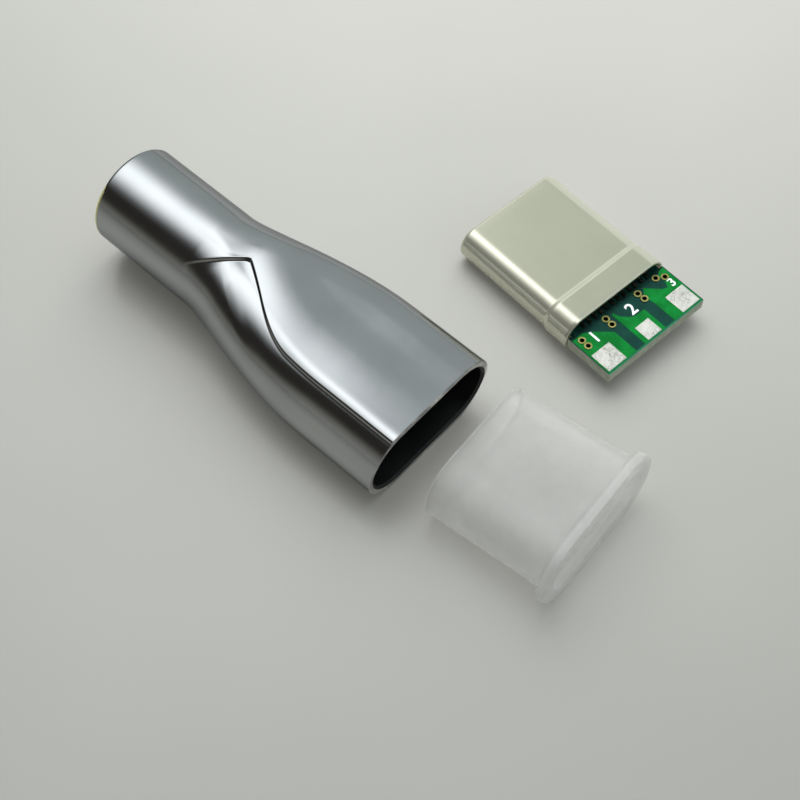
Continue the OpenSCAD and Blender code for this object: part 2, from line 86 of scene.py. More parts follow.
# Relief of the housing's skin, along the axis in millimetres and round it in degrees: the leaf's edge,
# the hollow below it, the swelling above it with its foot, and the dip under the leaf's point
LEAF_DEPTH, LEAF_STEP, LEAF_POINT, LEAF_REAR, NOSE = 0.15, 0.32, 10.45, 3.25, 0.22
LEAF_LEAD, LEAF_TURN, LEAF_SWING, LEAF_SPREAD, LEAF_FADE = 15.7, 34.0, 6.1, 112.0, 0.7
HOLLOW_DEPTH, HOLLOW_RUN, HOLLOW_FOOT, HOLLOW_SPREAD = 0.18, 9.0, 1.2, 60.0
SWELL_RISE, SWELL_START, SWELL_RUN, SWELL_SPREAD = 0.15, 5.6, 23.0, 50.0
FOOT_TURN, FOOT_REAR, FOOT_ROUND, FOOT_REACH = 15.0, 1.9, 0.05, 1.5
DIP_DEPTH, DIP_MID, DIP_REAR, DIP_FRONT, DIP_SPREAD = 0.08, 11.0, 1.6, 2.8, 33.0
FRONT_LEAD = LEAF_TURN * math.pi / 2 / LEAF_SWING

# Where a finish changes along the plug or the sleeve, in metres from its front end
# Painted shade under and behind the shell's rear end, on the contact tails and on the board
TAIL_SHADE, SHELL_SHADE_END, BOARD_RIM = (8.2 * MM, 8.9 * MM), (9.75 * MM, 10.15 * MM), (12.94 * MM, 13.02 * MM)
# The sleeve's rim and flange are made more opaque as a painted edge glow
SLEEVE_GLOW_RIM, SLEEVE_GLOW_FLANGE = (0.05 * MM, 0.15 * MM), (7.9 * MM, 8.1 * MM)

# Where the three groups lie, each with the tilt that its shape gives it on the table
CENTRE_X, CENTRE_Y, REST_BACK = -17.91, -7.38, 0.5
SLEEVE_AHEAD, SLEEVE_ASIDE, SLEEVE_TURN = 2.6, 0.86, 3.3
PLUG_AHEAD, PLUG_ASIDE, PLUG_TURN = 17.2, 15.8, -6.9
HOUSING_TILT = math.atan((TUBE_R - MOUTH_HALF_H) / (HOUSING_LEN - TUBE_LEN - REST_BACK))
PLUG_TILT = math.atan(SHELL_RISE / (REAR_X - TIP_ROUND))
SLEEVE_TILT = math.atan(FLANGE_OUT / (SLEEVE_LEN - FLANGE_T))


def place(x, y, z, turn, tilt):
    """Millimetres of a piece's own frame to metres of the part's frame."""
    turned = Matrix.Translation(Vector((x, y, z)) * MM) @ Matrix.Rotation(math.radians(turn), 4, "Z")
    return turned @ Matrix.Rotation(tilt, 4, "Y") @ Matrix.Scale(MM, 4)


# Housing skin: the round tube grows to the oblong mouth and carries the sunk leaf
def unit(v):
    """A number held between 0 and 1."""
    return np.clip(v, 0.0, 1.0)


def ease(v):
    """A run from 0 to 1 with a soft start and a soft end."""
    return v * v * (3 - 2 * v)


def flare(u):
    """Share of the way from the tube's section to the mouth's."""
    return ease(unit((u - TUBE_LEN) / (FLARE_END - TUBE_LEN)) ** FLARE_BIAS)


def half_w(u):
    return TUBE_R + flare(u) * (MOUTH_HALF_W - TUBE_R)


def half_h(u):
    return TUBE_R + flare(u) * (MOUTH_HALF_H - TUBE_R)


def corner(u):
    return TUBE_R + flare(u) * (MOUTH_CORNER - TUBE_R)


def bend(r, d):
    """How far an edge that is rounded with r falls back at the distance d from the end."""
    return r - np.sqrt(np.maximum(0, r * r - (r - np.minimum(r, d)) ** 2))


def reach(a, b, k, s, c):
    """Distance from the axis to a rounded rectangle in the direction with that sine and cosine."""
    s, c = np.maximum(s, 1e-9), np.maximum(c, 1e-9)
    bow = (a - k) * s + (b - k) * c + np.sqrt(np.maximum(0, k * k - ((a - k) * c - (b - k) * s) ** 2))
    return np.where(b * s <= (a - k) * c, b / c, np.where(a * c <= (b - k) * s, a / s, bow))


def front_branch(u):
    """Turn of the leaf's front branch from the top ridge, in degrees."""
    return LEAF_TURN * np.sin(math.pi / 2 * unit((u - LEAF_POINT) / LEAF_SWING))


def route(u):
    """Turn of the leaf's edge from the top ridge, in degrees: rear branch, rounded point, front branch."""
    back = LEAF_LEAD * np.minimum(LEAF_REAR, LEAF_POINT - u)
    share = unit((u - LEAF_POINT + NOSE) / (2 * NOSE))
    first, last = LEAF_LEAD * NOSE, LEAF_TURN * math.sin(math.pi / 2 * NOSE / LEAF_SWING)
    tip = (1 - share) ** 2 * first + share ** 2 * last
    return np.where(abs(u - LEAF_POINT) < NOSE, tip, np.where(u < LEAF_POINT, back, front_branch(u)))


def hump(t):
    """A rise to 1 at half the way and a soft fall to nothing."""
    return np.where(t < 0.5, 4 * t * (1 - t), ease(unit(2 - 2 * t)))


def above_foot(u, above):
    """Turn above the swelling's foot, which follows the front branch and runs on behind the leaf's point."""
    spread = np.minimum(FOOT_ROUND * above, FOOT_REACH)[:, None] + NOSE
    steps = np.linspace(-1, 1, 21)
    weight = (1 - steps ** 2) / np.sum(1 - steps ** 2)
    at = u + spread * steps
    behind = unit((LEAF_POINT - at) / FOOT_REAR)
    soft = (front_branch(at) + FOOT_TURN * behind * (2 - behind)) @ weight
    past = ease(unit((u - LEAF_POINT - LEAF_SWING / 4) / (LEAF_SWING / 2)))
    return above - route(u) + soft + past * (front_branch(u) - soft)


def leaf_sink(u, d, w):
    """Depth of the relief at the turn d below the leaf's edge, whose step reaches w to each side."""
    rise = ease(unit((d + w) / (2 * w)))
    fall = 1 - ease(unit((d - w) / (LEAF_SPREAD - w)))
    fade = ease(unit((u - LEAF_POINT + LEAF_REAR) / (LEAF_FADE * LEAF_REAR)))
    step = LEAF_DEPTH * fade * np.where(d < w, rise, fall)
    deep = HOLLOW_DEPTH * ease(unit((u - LEAF_POINT) / HOLLOW_RUN))
    hollow = deep * hump(unit((d - w - HOLLOW_FOOT) / HOLLOW_SPREAD))
    high = SWELL_RISE * hump(unit((u - SWELL_START) / SWELL_RUN))
    swell = high * hump(unit(above_foot(u, 180 - w - d) / SWELL_SPREAD))
    below = d - w + route(u) - front_branch(u) + FRONT_LEAD * max(0, LEAF_POINT - u)
    run = DIP_REAR if u < DIP_MID else DIP_FRONT
    dip = DIP_DEPTH * math.exp(-((u - DIP_MID) / run) ** 2) * rise * hump(unit(below / DIP_SPREAD))
    return step + hollow + dip - swell


def skin_ring(u):
    """One ring of the skin: the columns follow the leaf's edge, packed across its step and below it."""
    across, foot, foot_steps = 13, 11, 5
    rest = SKIN_COLUMNS // 2 - across - foot
    turn = float(route(u))
    swing = math.radians(turn)
    w = LEAF_STEP / 2 * 180 / math.pi / math.hypot(half_w(u) * math.cos(swing), half_h(u) * math.sin(swing))
    far = foot_steps * w
    d = np.concatenate([np.linspace(-w, w, across), np.linspace(w, far, foot + 1)[1:],
                        far + (180 - w - far) * np.arange(1, rest + 1) / (rest + 1)])
    cut = leaf_sink(u, d, w) + bend(REAR_ROUND, u) + bend(RIM_ROUND, HOUSING_LEN - u)
    angle = np.radians(np.concatenate([turn + d, turn + 180 + d]))
    y, z = half_w(u) * np.sin(angle), half_h(u) * np.cos(angle)
    n = np.hypot(y, z)
    whole = reach(half_w(u), half_h(u), corner(u), np.abs(y) / n, np.abs(z) / n)
    r = whole - np.concatenate([cut, cut])
    return np.stack([np.full(SKIN_COLUMNS, u), -r * y / n, r * z / n], 1)


def oblong_ring(x, c, r, like):
    """An oblong of half middle length c and radius r, its points in the directions of another ring's."""
    n = np.hypot(like[:, 1], like[:, 2])
    dy, dz = like[:, 1] / n, like[:, 2] / n
    long = reach(c + r, r, r, np.abs(dy), np.abs(dz))
    return np.stack([np.full(len(like), x), long * dy, long * dz], 1)


# Meshes from rings
def ring_mesh(name, rings, marks=None):
    """A tube of quads through rings of equal length, closed on itself; marks give a finish to each band."""
    count = len(rings[0])
    faces, finish = [], []
    for i in range(len(rings)):
        a, b = i * count, (i + 1) % len(rings) * count
        for j in range(count):
            k = (j + 1) % count
            faces.append((a + j, a + k, b + k, b + j))
        finish += [marks[i] if marks else 0] * count
    mesh = bpy.data.meshes.new(name)
    mesh.from_pydata(np.concatenate(rings).tolist(), [], faces)
    mesh.polygons.foreach_set("material_index", finish)
    return mesh


def piece(name, mesh, where, finishes, stands_for=(), sharp=38):
    """Puts a mesh in its place, gives it its finishes and lets it ride on the part."""
    mesh.transform(where)
    mesh.update()
    mesh.validate()
    mesh.shade_smooth()
    mesh.set_sharp_from_angle(angle=math.radians(sharp))
    for finish in finishes:
        mesh.materials.append(finish)
    made = bpy.data.objects.new(name, mesh)
    bpy.context.scene.collection.objects.link(made)
    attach(made, "root")
    if stands_for:
        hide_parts(*stands_for)


# Shader helpers
def feed(tree, socket, value):
    """Links a value that is a socket, and sets any other."""
    if isinstance(value, bpy.types.NodeSocket):
        tree.links.new(value, socket)
    else:
        socket.default_value = value


def put(tree, kind, settings=None, **values):
    """Adds a node and feeds its inputs; underscores stand for spaces, iN for input N."""
    made = tree.nodes.new("ShaderNode" + kind)
    for key, value in (settings or {}).items():
        setattr(made, key, value)
    for key, value in values.items():
        by_number = key[0] == "i" and key[1:].isdigit()
        feed(tree, made.inputs[int(key[1:]) if by_number else key.replace("_", " ")], value)
    return made


def figure(tree, operation, *terms, clamp=False):
    """Result of one sum on values."""
    made = put(tree, "Math", {"operation": operation, "use_clamp": clamp})
    for socket, term in zip(made.inputs, terms):
        feed(tree, socket, term)
    return made.outputs[0]


def ranged(tree, value, low, high, first=0.0, last=1.0, soft=False):
    """A value's run from low to high, turned into a run from first to last."""
    shape = {"interpolation_type": "SMOOTHSTEP"} if soft else {}
    made = put(tree, "MapRange", shape, Value=value, From_Min=low, From_Max=high, To_Min=first, To_Max=last)
    return made.outputs["Result"]


def mixed(tree, share, first, second):
    """One colour where the share is 0, the other where it is 1."""
    return put(tree, "Mix", {"data_type": "RGBA"}, i0=share, i6=first, i7=second).outputs[2]


def new_group(name, takes, gives):
    """A shared effect's empty group, with what it takes and what it gives."""
    tree = bpy.data.node_groups.new(name, "ShaderNodeTree")
    for label, kind, value in takes:
        socket = tree.interface.new_socket(name=label, in_out="INPUT", socket_type="NodeSocket" + kind)
        socket.default_value = value
    for label, kind in gives:
        tree.interface.new_socket(name=label, in_out="OUTPUT", socket_type="NodeSocket" + kind)
    return tree, tree.nodes.new("NodeGroupInput").outputs, tree.nodes.new("NodeGroupOutput").inputs


def use(tree, group, **values):
    """Places a shared effect in a finish."""
    made = tree.nodes.new("ShaderNodeGroup")
    made.node_tree = group
    for key, value in values.items():
        feed(tree, made.inputs[key.replace("_", " ")], value)
    return made.outputs


# Effects that the finishes share
def make_grain():
    """Fine grain of a finish, stretched along a direction where it is drawn or brushed."""
    tree, takes, gives = new_group(
        "fine_grain",
        [("Scale", "Float", 5000.0), ("Turn", "Vector", (0, 0, 0)), ("Stretch", "Vector", (1, 1, 1)),
         ("Low", "Float", 0.2), ("High", "Float", 0.4)],
        [("Value", "Float"), ("Height", "Float")],
    )
    spot = put(tree, "TexCoord").outputs["Object"]
    laid = put(tree, "Mapping", Vector=spot, Rotation=takes["Turn"], Scale=takes["Stretch"]).outputs["Vector"]
    noise = put(tree, "TexNoise", Vector=laid, Scale=takes["Scale"], Detail=4.0, Roughness=0.6)
    speck = noise.outputs["Fac"]
    tree.links.new(ranged(tree, speck, 0.3, 0.7, takes["Low"], takes["High"]), gives["Value"])
    tree.links.new(speck, gives["Height"])
    return tree


def make_drift():
    """Slow drift between two tones of one colour."""
    tree, takes, gives = new_group(
        "tone_drift",
        [("Scale", "Float", 300.0), ("Tone 1", "Color", (0.5, 0.5, 0.5, 1)),
         ("Tone 2", "Color", (0.6, 0.6, 0.6, 1))],
        [("Color", "Color")],
    )
    spot = put(tree, "TexCoord").outputs["Object"]
    cloud = put(tree, "TexNoise", Vector=spot, Scale=takes["Scale"], Detail=3.0, Roughness=0.55)
    share = ranged(tree, cloud.outputs["Fac"], 0.32, 0.68, soft=True)
    tree.links.new(mixed(tree, share, takes["Tone 1"], takes["Tone 2"]), gives["Color"])
    return tree


def make_marks():
    """Faint handling marks: soft patches and a few hair scratches."""
    tree, takes, gives = new_group(
        "handling_marks",
        [("Scale", "Float", 500.0), ("Patch", "Float", 0.5), ("Scratch", "Float", 0.5)],
        [("Mask", "Float")],
    )
    spot = put(tree, "TexCoord").outputs["Object"]
    cloud = put(tree, "TexNoise", Vector=spot, Scale=takes["Scale"], Detail=5.0, Roughness=0.65,
                Distortion=0.6).outputs
    soft = figure(tree, "MULTIPLY", ranged(tree, cloud["Fac"], 0.5, 0.72, soft=True), takes["Patch"])
    bent = put(tree, "VectorMath", {"operation": "MULTIPLY_ADD"}, i0=cloud["Color"],
               i1=(0.0012, 0.0012, 0.0012), i2=spot).outputs[0]
    fine = figure(tree, "MULTIPLY", takes["Scale"], 2.6)
    cell = put(tree, "TexVoronoi", {"feature": "DISTANCE_TO_EDGE"}, Vector=bent, Scale=fine)
    hair = ranged(tree, cell.outputs["Distance"], 0.0, 0.025, 1.0, 0.0)
    line = figure(tree, "MULTIPLY", hair, takes["Scratch"])
    tree.links.new(figure(tree, "ADD", soft, line, clamp=True), gives["Mask"])
    return tree


GRAIN, DRIFT, MARKS = make_grain(), make_drift(), make_marks()


def finish_base(name):
    """A new finish with its shader joined to the surface."""
    material = bpy.data.materials.new(name)
    material.use_nodes = True
    tree = material.node_tree
    tree.nodes.clear()
    shader = tree.nodes.new("ShaderNodeBsdfPrincipled")
    out = tree.nodes.new("ShaderNodeOutputMaterial")
    tree.links.new(shader.outputs["BSDF"], out.inputs["Surface"])
    return material, tree, shader


def dress(tree, shader, **values):
    """Feeds a shader's inputs."""
    for key, value in values.items():
        feed(tree, shader.inputs[key.replace("_", " ")], value)


def grained(tree, scale, low, high, **more):
    return use(tree, GRAIN, Scale=scale, Low=low, High=high, **more)


def drifting(tree, scale, tone_1, tone_2):
    return use(tree, DRIFT, Scale=scale, Tone_1=(*tone_1, 1), Tone_2=(*tone_2, 1))["Color"]


def bumped(tree, height, depth, strength=0.5):
    """Normal of a relief of that depth in metres."""
    return put(tree, "Bump", Strength=strength, Distance=depth, Height=height).outputs["Normal"]


def flatness(tree, normal):
    """1 where a face lies flat, 0 where it stands up."""
    up = put(tree, "SeparateXYZ", i0=put(tree, "NewGeometry").outputs[normal]).outputs["Z"]
    return figure(tree, "ABSOLUTE", up)


def standing(tree):
    """1 on faces that stand up, 0 on faces that lie flat."""
    return figure(tree, "LESS_THAN", flatness(tree, "True Normal"), 0.6)


def along(tree, place_of):
    """Distance from a group's front end along its axis, in metres."""
    spot = put(tree, "TexCoord").outputs["Object"]
    start = place_of @ Vector((0, 0, 0))
    from_end = put(tree, "VectorMath", {"operation": "SUBTRACT"}, i0=spot, i1=start).outputs[0]
    ahead = place_of.to_3x3().col[0] / MM
    return put(tree, "VectorMath", {"operation": "DOT_PRODUCT"}, i0=from_end, i1=ahead).outputs["Value"]


# Finishes
def metal(name, tone_1, tone_2, rough, grain, stretch=(1, 1, 1), turn=0.0, patch=0.08, scratch=0.05,
          cloud=220.0, edge=(1, 1, 1), bare=1.0):
    """A plated or bare metal: two tones, grain in its gloss and faint marks.

    edge is its tone at a flat angle, and bare is the share of it that is clean metal.
    """
    material, tree, shader = finish_base(name)
    drawn = grained(tree, grain, *rough, Turn=(0, 0, math.radians(turn)), Stretch=stretch)
    marks = use(tree, MARKS, Scale=cloud * 2.2, Patch=patch, Scratch=scratch)
    gloss = figure(tree, "ADD", drawn["Value"], marks["Mask"], clamp=True)
    dress(tree, shader, Base_Color=drifting(tree, cloud, tone_1, tone_2), Roughness=gloss, Metallic=bare,
          Specular_Tint=(*edge, 1), Normal=bumped(tree, drawn["Height"], 4e-7))
    return material


def nickel_finish():
    """Nickel on the drawn shell: satin on the flats, and a lighter tone round the sides that is a painted
    highlight.
    """
    material, tree, shader = finish_base("shell_nickel")
    drawn = grained(tree, 2600.0, 0.19, 0.23, Turn=(0, 0, math.radians(-PLUG_TURN)), Stretch=(0.12, 1, 1))
    satin = drifting(tree, 220.0, (0.465, 0.469, 0.366), (0.485, 0.489, 0.383))
    # Painted highlight: the rounded sides get a lighter tone than the flats, for the light they catch.
    painted_side_highlight = drifting(tree, 220.0, (0.66, 0.655, 0.53), (0.69, 0.685, 0.56))
    share = ranged(tree, flatness(tree, "Normal"), 0.97, 0.998)
    dress(tree, shader, Base_Color=mixed(tree, share, painted_side_highlight, satin), Roughness=drawn["Value"], Metallic=0.68,
          Normal=bumped(tree, drawn["Height"], 2e-7))
    return material


def moulding(name, tone_1, tone_2, rough, depth, **more):
    """A moulded or printed surface with a fine grain."""
    material, tree, shader = finish_base(name)
    speck = grained(tree, 9000.0, *rough)
    dress(tree, shader, Base_Color=drifting(tree, 1000.0, tone_1, tone_2), Roughness=speck["Value"],
          Normal=bumped(tree, speck["Height"], depth), **more)
    return material


def board_finish():
    """Solder mask on the faces, pale laminate on the sawn edges, and painted shade that darkens the mask just
    behind the shell's rear end, where the tails are soldered.
    """
    material, tree, shader = finish_base("solder_mask")
    speck = grained(tree, 9000.0, 0.24, 0.36)
    mask = drifting(tree, 900.0, (0.002, 0.034, 0.026), (0.003, 0.048, 0.034))
    glass = drifting(tree, 2500.0, (0.60, 0.63, 0.52), (0.46, 0.50, 0.40))
    # Painted shade: the mask turns near black just behind the shell's rear end.
    shell_shade = drifting(tree, 3000.0, (0.002, 0.012, 0.010), (0.004, 0.030, 0.022))
    run = along(tree, PLUG_PLACE)
    face = mixed(tree, ranged(tree, run, *SHELL_SHADE_END, soft=True), shell_shade, mask)
    face = mixed(tree, ranged(tree, run, *BOARD_RIM), face, (0.012, 0.15, 0.07, 1))
    sawn = standing(tree)
    gloss = figure(tree, "MULTIPLY_ADD", sawn, 0.4, speck["Value"], clamp=True)
    dress(tree, shader, Base_Color=mixed(tree, sawn, face, glass), Roughness=gloss, Specular_IOR_Level=0.12,
          Normal=bumped(tree, speck["Height"], 1.5e-6))
    return material


def tin_finish():
    """Tinned pad: bright and uneven, with a scratched tangle in its middle."""
    material, tree, shader = finish_base("pad_tin")
    speck = grained(tree, 5200.0, 0.3, 0.5)
    tone = drifting(tree, 1500.0, (0.66, 0.65, 0.61), (0.76, 0.75, 0.70))
    spot = put(tree, "TexCoord").outputs["Object"]
    tangle = put(tree, "TexNoise", Vector=spot, Scale=2600.0, Detail=2.0, Distortion=1.6).outputs["Fac"]
    near = figure(tree, "ABSOLUTE", figure(tree, "SUBTRACT", tangle, 0.5))
    spread = put(tree, "TexNoise", Vector=spot, Scale=900.0, Detail=1.0).outputs["Fac"]
    scratch = figure(tree, "MULTIPLY", ranged(tree, near, 0.004, 0.018, 1.0, 0.0),
                     ranged(tree, spread, 0.42, 0.56))
    dress(tree, shader, Base_Color=mixed(tree, scratch, tone, (0.30, 0.29, 0.26, 1)),
          Roughness=speck["Value"], Metallic=0.7, Normal=bumped(tree, scratch, -1.2e-5, 0.8))
    return material


def hole_finish():
    """Gold on the ring, and painted shade on the barrel's wall inside the hole."""
    material, tree, shader = finish_base("hole_plating")
    speck = grained(tree, 9000.0, 0.28, 0.42)
    ring = drifting(tree, 2500.0, (0.30, 0.28, 0.08), (0.46, 0.42, 0.16))
    # Painted shade: the barrel's wall is near black for the shade inside the hole.
    barrel_shade = drifting(tree, 4000.0, (0.016, 0.010, 0.006), (0.045, 0.026, 0.012))
    dress(tree, shader, Base_Color=mixed(tree, standing(tree), ring, barrel_shade), Roughness=speck["Value"],
          Metallic=0.75, Normal=bumped(tree, speck["Height"], 1e-6))
    return material


def contact_finish():
    """Gold-plated strip, darkened towards its soldered tail under the shell's rear end as painted shade."""
    material, tree, shader = finish_base("contact_gold")
    drawn = grained(tree, 8000.0, 0.2, 0.34, Turn=(0, 0, math.radians(-PLUG_TURN)), Stretch=(0.2, 1, 1))
    gold = drifting(tree, 500.0, (0.76, 0.52, 0.20), (0.86, 0.64, 0.30))
    # Painted shade on the tails where the shell's rear end covers them.
    shell_shade = drifting(tree, 4000.0, (0.020, 0.024, 0.020), (0.11, 0.11, 0.09))
    tail = ranged(tree, along(tree, PLUG_PLACE), *TAIL_SHADE, soft=True)
    dress(tree, shader, Base_Color=mixed(tree, tail, gold, shell_shade), Roughness=drawn["Value"], Metallic=0.9,
          Normal=bumped(tree, drawn["Height"], 6e-7))
    return material


def frost_finish():
    """Frosted see-through moulding: light goes into it and through it; its rim and flange are made more
    opaque as a painted edge glow.
    """
    material, tree, shader = finish_base("frosted_moulding")
    speck = grained(tree, 7000.0, 0.36, 0.48)
    cloud = grained(tree, 350.0, 0.17, 0.21)
    tone = drifting(tree, 260.0, (0.60, 0.605, 0.59), (0.63, 0.635, 0.62))
    run = along(tree, SLEEVE_PLACE)
    # Painted edge glow: more opacity at the front rim and on the flange makes them show lighter.
    rim = ranged(tree, run, *SLEEVE_GLOW_RIM, 0.22, 0.0)
    flange = ranged(tree, run, *SLEEVE_GLOW_FLANGE, 0.0, 0.1)
    milk_and_edge_glow = figure(tree, "ADD", figure(tree, "ADD", rim, flange), cloud["Value"], clamp=True)
    dress(tree, shader, Base_Color=tone, Roughness=speck["Value"], Alpha=milk_and_edge_glow, IOR=1.46,
          Subsurface_Weight=1.0, Subsurface_Radius=(1.0, 1.0, 1.0), Subsurface_Scale=0.002,
          Normal=bumped(tree, speck["Height"], 2e-6))
    return material


# Places of the three groups; the housing is lifted until its lowest ring rests on the table
REST_STATIONS = 246
HOUSING_Z = max(
    float(u * math.sin(HOUSING_TILT) - skin_ring(u)[:, 2].min() * math.cos(HOUSING_TILT))
    for u in np.linspace(0, HOUSING_LEN, REST_STATIONS)
)
SLEEVE_Z = (SLEEVE_R - SLEEVE_ROUND) * math.cos(SLEEVE_TILT) + SLEEVE_ROUND * (1 - math.sin(SLEEVE_TILT))
PLUG_Z = REAR_R * math.cos(PLUG_TILT) - REAR_X * math.sin(PLUG_TILT)
HOUSING_PLACE = place(CENTRE_X, CENTRE_Y, HOUSING_Z, 0, HOUSING_TILT)
SLEEVE_PLACE = place(CENTRE_X + HOUSING_LEN + SLEEVE_AHEAD, CENTRE_Y + SLEEVE_ASIDE, SLEEVE_Z, SLEEVE_TURN,
                     -SLEEVE_TILT)
PLUG_PLACE = place(CENTRE_X + PLUG_AHEAD, CENTRE_Y + PLUG_ASIDE, PLUG_Z, PLUG_TURN, -PLUG_TILT)

CHROME = metal("housing_chrome", (0.445, 0.455, 0.462), (0.475, 0.485, 0.49), (0.12, 0.15), 1400.0,
               patch=0.02, scratch=0.015, edge=(0.5, 0.51, 0.52))
RIM_SATIN = metal("mouth_rim_satin", (0.30, 0.30, 0.30), (0.66, 0.66, 0.64), (0.22, 0.4), 9000.0, patch=0.1,
                  scratch=0.1, cloud=700.0)
BRASS_EDGE = metal("cable_end_brass", (0.80, 0.75, 0.27), (0.88, 0.84, 0.38), (0.28, 0.4), 7000.0, bare=0.6)
# Painted shade: the walls of the mouth's room, the wire room and the cable hole are near black.
SHADED_BORE = metal("bore_painted_shade", (0.030, 0.030, 0.032), (0.050, 0.050, 0.052), (0.42, 0.6), 6000.0,
                  patch=0.1)
NICKEL = nickel_finish()
STEEL = metal("spring_steel", (0.50, 0.50, 0.49), (0.62, 0.62, 0.60), (0.25, 0.4), 5000.0, (0.2, 1, 1),
              -PLUG_TURN)
GOLD = contact_finish()
RING_GOLD = hole_finish()
TIN = tin_finish()
BLACK = moulding("black_moulding", (0.012, 0.012, 0.013), (0.022, 0.022, 0.023), (0.4, 0.55), 3e-6)
ZONE = moulding("mask_over_copper", (0.0005, 0.13, 0.018), (0.001, 0.19, 0.028), (0.22, 0.34), 1.5e-6,
                Specular_IOR_Level=0.07)
PRINT = moulding("printed_white", (0.74, 0.82, 0.82), (0.90, 0.95, 0.95), (0.5, 0.7), 3e-6)
SOLDER_MASK = board_finish()
FROST = frost_finish()


# Pieces
def make_housing():
    """Chromed casting in one closed mesh: skin, rim, the mouth's room, the wire room and the cable hole."""
    skin, rim, brass, bore = range(4)
    stations = np.concatenate([
        REAR_ROUND * (1 - np.cos(np.linspace(0, math.pi / 2, 9)[:-1])),
        np.linspace(REAR_ROUND, LEAF_POINT - LEAF_REAR, 25)[:-1],
        np.linspace(LEAF_POINT - LEAF_REAR, LEAF_POINT, 61)[:-1],
        np.linspace(LEAF_POINT, LEAF_POINT + LEAF_SWING, 97)[:-1],
        np.linspace(LEAF_POINT + LEAF_SWING, HOUSING_LEN - RIM_ROUND, 57)[:-1],
        HOUSING_LEN - RIM_ROUND * np.cos(np.linspace(math.pi / 2, 0, 9))[::-1],
    ])
    rings = [skin_ring(u) for u in stations]
    rim_start = HOUSING_LEN - RIM_SHARE * RIM_ROUND
    marks = [brass if u < REAR_ROUND else rim if u > rim_start else skin for u in stations]
    marks[-1] = rim
    first, last = rings[0], rings[-1]
    inside = [
        (HOUSING_LEN, SLEEVE_C, ROOM_R + MOUTH_LIP), (HOUSING_LEN - MOUTH_LIP, SLEEVE_C, ROOM_R),
        (HOUSING_LEN - MOUTH_DEPTH, SLEEVE_C, ROOM_R), (HOUSING_LEN - MOUTH_DEPTH, WIRE_C, WIRE_R),
        (HOUSING_LEN - WIRE_DEPTH, WIRE_C, WIRE_R), (HOUSING_LEN - WIRE_DEPTH, 0.0, CABLE_R),
    ]
    for x, c, r in inside:
        rings.append(oblong_ring(x, c, r, last))
        marks.append(bore)
    for x, r in ((CABLE_LIP, CABLE_R), (0.0, CABLE_R + CABLE_LIP)):
        rings.append(oblong_ring(x, 0.0, r, first))
        marks.append(brass)
    mesh = ring_mesh("metal_housing_skin", rings, marks)
    # The bare brass reaches over the cable end's rounded rim on the near side alone, and tapers off there
    for face in mesh.polygons:
        mid = face.center
        on_rim = face.material_index == brass and mid.x > 0 and mid.yz.length > CABLE_R + 2 * CABLE_LIP
        if on_rim and mid.x > REAR_ROUND * ease(unit((-mid.y / TUBE_R - BRASS_FROM) / BRASS_RUN)):
            face.material_index = skin
    piece("housing_casting", mesh, HOUSING_PLACE, [CHROME, RIM_SATIN, BRASS_EDGE, SHADED_BORE],
          ["metal_housing"])


def oblong_columns(straight, round_n):
    """Middle shares and directions of the columns round an oblong, from the far top over the near side."""
    share, angle = [], []
    for side in (1, -1):
        start = 0.0 if side > 0 else -math.pi
        for k in range(straight):
            share.append(side * (1 - 2 * k / straight))
            angle.append(start)
        for k in range(round_n):
            share.append(-1.0 * side)
            angle.append(start - math.pi * k / round_n)
    return np.array(share), np.array(angle)


def body_ring(x, c, r, columns):
    """One oblong ring of half middle length c and radius r."""
    share, angle = columns
    return np.stack([np.full(len(share), x), c * share + r * np.sin(angle), r * np.cos(angle)], 1)


def make_shell():
    """Drawn shell: rounded tip, front part, soft step, wider rear part, and the room inside."""
    end_round, end_break, tip_edge = 0.05, 0.03, 0.06
    columns = oblong_columns(30, 44)
    step_start, step_end = SHELL_FRONT - STEP_LEAD, REAR_X + STEP_TAIL
    profile = []
    for a in np.linspace(0, math.pi / 2, 10)[::-1]:
        profile.append((TIP_ROUND * (1 - math.sin(a)), PLUG_R - TIP_ROUND * (1 - math.cos(a))))
    profile += [(x, PLUG_R) for x in np.linspace(TIP_ROUND, step_start, 14)[1:]]
    for t in np.linspace(0, 1, 21)[1:]:
        profile.append((step_start + (step_end - step_start) * t, PLUG_R + SHELL_RISE * ease(t)))
    profile += [(x, REAR_R) for x in np.linspace(step_end, SHELL_LEN - end_round, 8)[1:]]
    profile += [(SHELL_LEN - 0.3 * end_round, REAR_R - 0.3 * end_round), (SHELL_LEN, REAR_R - end_round)]
    inner = REAR_R - SHELL_T
    profile += [(SHELL_LEN, inner + end_break), (SHELL_LEN - end_break, inner), (REAR_X, inner)]
    profile += [(x, PLUG_R - SHELL_T) for x in (SHELL_FRONT, 4.0, 1.0, tip_edge)]
    mesh = ring_mesh("plug_shell_skin", [body_ring(x, PLUG_C, r, columns) for x, r in profile])
    piece("drawn_shell", mesh, PLUG_PLACE, [NICKEL], ["plug_shell"], sharp=50)


def wave(a, b, phase=0.0):
    """A smooth uneven number between -1 and 1, the same on every run."""
    return (np.sin(3.1 * a + 1.7 * b + phase) + np.sin(7.3 * a - 2.9 * b + 2 * phase + 1.3) * 0.7
            + np.sin(13.7 * a + 5.1 * b + 0.6 * phase + 2.1) * 0.5) / 2.2


